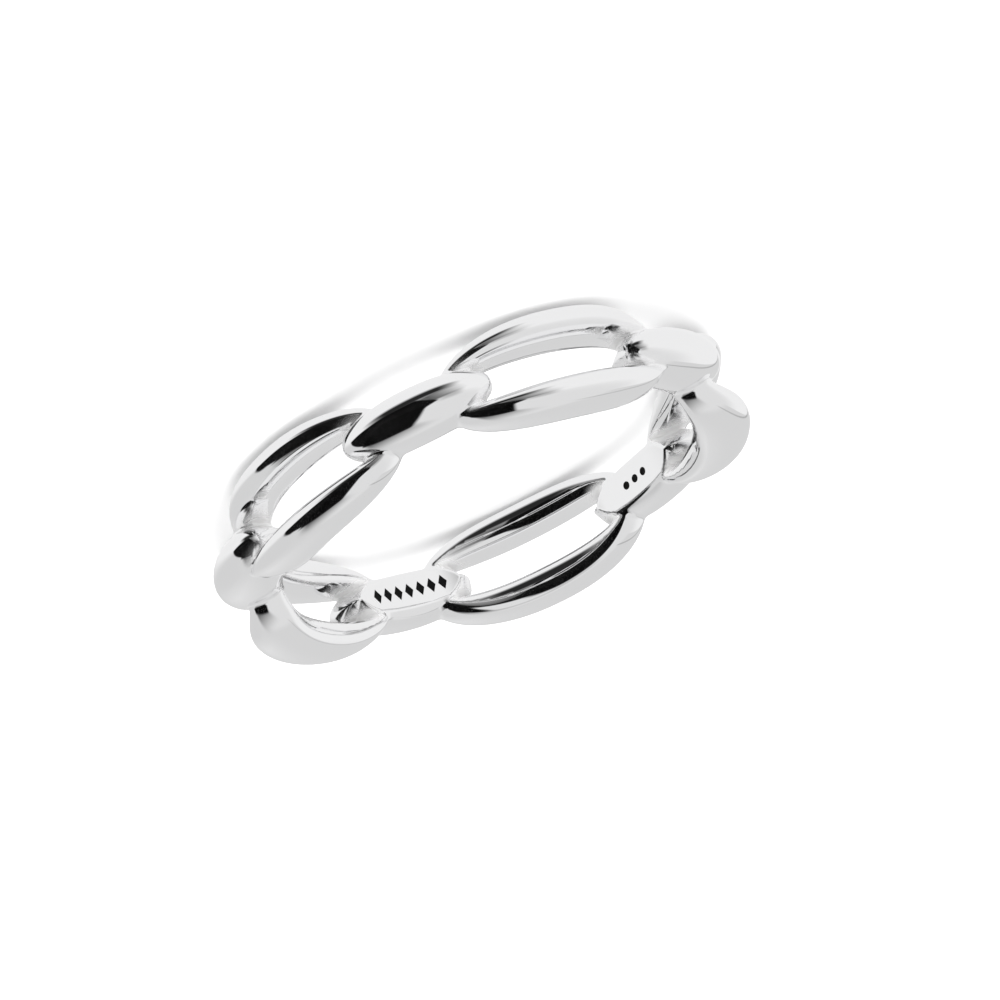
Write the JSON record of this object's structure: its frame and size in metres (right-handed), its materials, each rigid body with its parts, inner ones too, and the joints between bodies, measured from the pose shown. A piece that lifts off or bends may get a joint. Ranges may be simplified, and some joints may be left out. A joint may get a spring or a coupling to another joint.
{
  "type": "chain link ring",
  "caption": "Finger ring shaped as a chain of oval links, flat ones and edge-on ones in turn, fused round a smooth finger hole.",
  "frame": {"origin": "centre of the finger hole, half way between the ring's two sides", "axes": "+Z along the finger hole's axis, +Y through the middle of a flat link, -Y through the middle of an edge-on link; the ring lies on its side, on its low Z side"},
  "size_m": [0.022, 0.0223, 0.0042],
  "materials": {
    "silver": "polished silver, faintly worn, darker in the creases between the links"
  },
  "bodies": {
    "root": {"link_band": "silver"}
  },
  "joints": []
}
